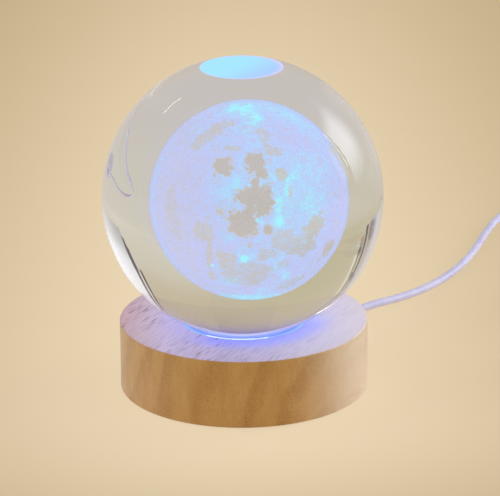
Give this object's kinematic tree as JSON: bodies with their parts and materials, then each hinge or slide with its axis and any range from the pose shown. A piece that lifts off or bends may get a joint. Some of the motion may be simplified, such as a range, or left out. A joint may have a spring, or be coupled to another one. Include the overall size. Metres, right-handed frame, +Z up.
{
  "type": "moon lamp",
  "caption": "Clear glass ball with an engraved moon, resting in a lit ring on a round wooden base, with a thin cord, in-line push switch and flat plug.",
  "frame": {"origin": "on the table, on the round base's axis, under the middle of its pad", "axes": "+Z up along the axis of the base and the ball; -Y towards the viewer of the picture; the cord leaves at 49 degrees from +X towards +Y"},
  "size_m": [0.175, 0.2033, 0.0951],
  "materials": {
    "wood": "pale ring-porous wood, sanded and oiled, satin",
    "clear_acrylic": "clear, turned and polished",
    "opal_plastic": "milk white, lets light through",
    "circuit_board": "white solder mask",
    "led_housing": "white ceramic-filled",
    "led_resin": "clear resin that glows blue violet",
    "black_epoxy": "moulded black",
    "capacitor_can": "drawn can",
    "solder": "bright tin",
    "steel_screw": "zinc plated",
    "red_wire": "soft insulation",
    "black_wire": "soft insulation",
    "cord_jacket": "white soft jacket, slight sheen",
    "tie_nylon": "natural nylon",
    "cover_plastic": "black, fine moulded grain",
    "pad_foam": "closed-cell foam",
    "crystal": "clear polished optical glass with a ground flat on top",
    "engraving": "clear glass filled with fine white dots under its surface, lit blue violet",
    "switch_plastic": "white, fine moulded grain",
    "brass_contact": "stamped strip",
    "spring_steel": "bright wire",
    "plug_metal": "nickel-plated folded sheet",
    "plug_insulator": "white insulator"
  },
  "bodies": {
    "root": {"wooden_base": "wood", "seat_ring": "clear_acrylic", "diffuser_disc": "opal_plastic", "led_board": "circuit_board", "led_packages": "led_housing", "led_windows": "led_resin", "resistors": "black_epoxy", "controller_chip": "black_epoxy", "capacitor": "capacitor_can", "board_screws": "steel_screw", "solder_joints": "solder", "lead_red": "red_wire", "lead_black": "black_wire", "cord_inside": "cord_jacket", "cable_tie": "tie_nylon", "cord_relief": "cord_jacket", "bottom_cover": "cover_plastic", "cover_screws": "steel_screw", "base_pad": "pad_foam", "cord_from_base": "cord_jacket", "cord_coil": "cord_jacket", "cord_to_switch": "cord_jacket", "cord_to_plug": "cord_jacket", "switch_lower_case": "switch_plastic", "switch_upper_case": "switch_plastic", "switch_screws": "steel_screw", "switch_sleeves": "cord_jacket", "switch_cord_ends": "cord_jacket", "switch_leads": "red_wire", "switch_contacts": "brass_contact", "switch_spring": "spring_steel", "plug_overmould": "cord_jacket", "plug_shell": "plug_metal", "plug_tongue": "plug_insulator", "plug_contacts": "brass_contact"},
    "ball": {"crystal_ball": "crystal", "engraved_moon": "engraving"},
    "switch_plunger": {"switch_button": "switch_plastic", "switch_bridge": "brass_contact"}
  },
  "joints": [
    {"name": "ball_lift", "type": "slide", "parent": "root", "child": "ball", "axis": [0, 0, 1], "range_m": [0, 0.06]},
    {"name": "switch_press", "type": "slide", "parent": "root", "child": "switch_plunger", "axis": [0, 0, -1], "range_m": [0, 0.0012], "stiffness_N_per_m": 400, "deforming": ["switch_spring"]}
  ]
}
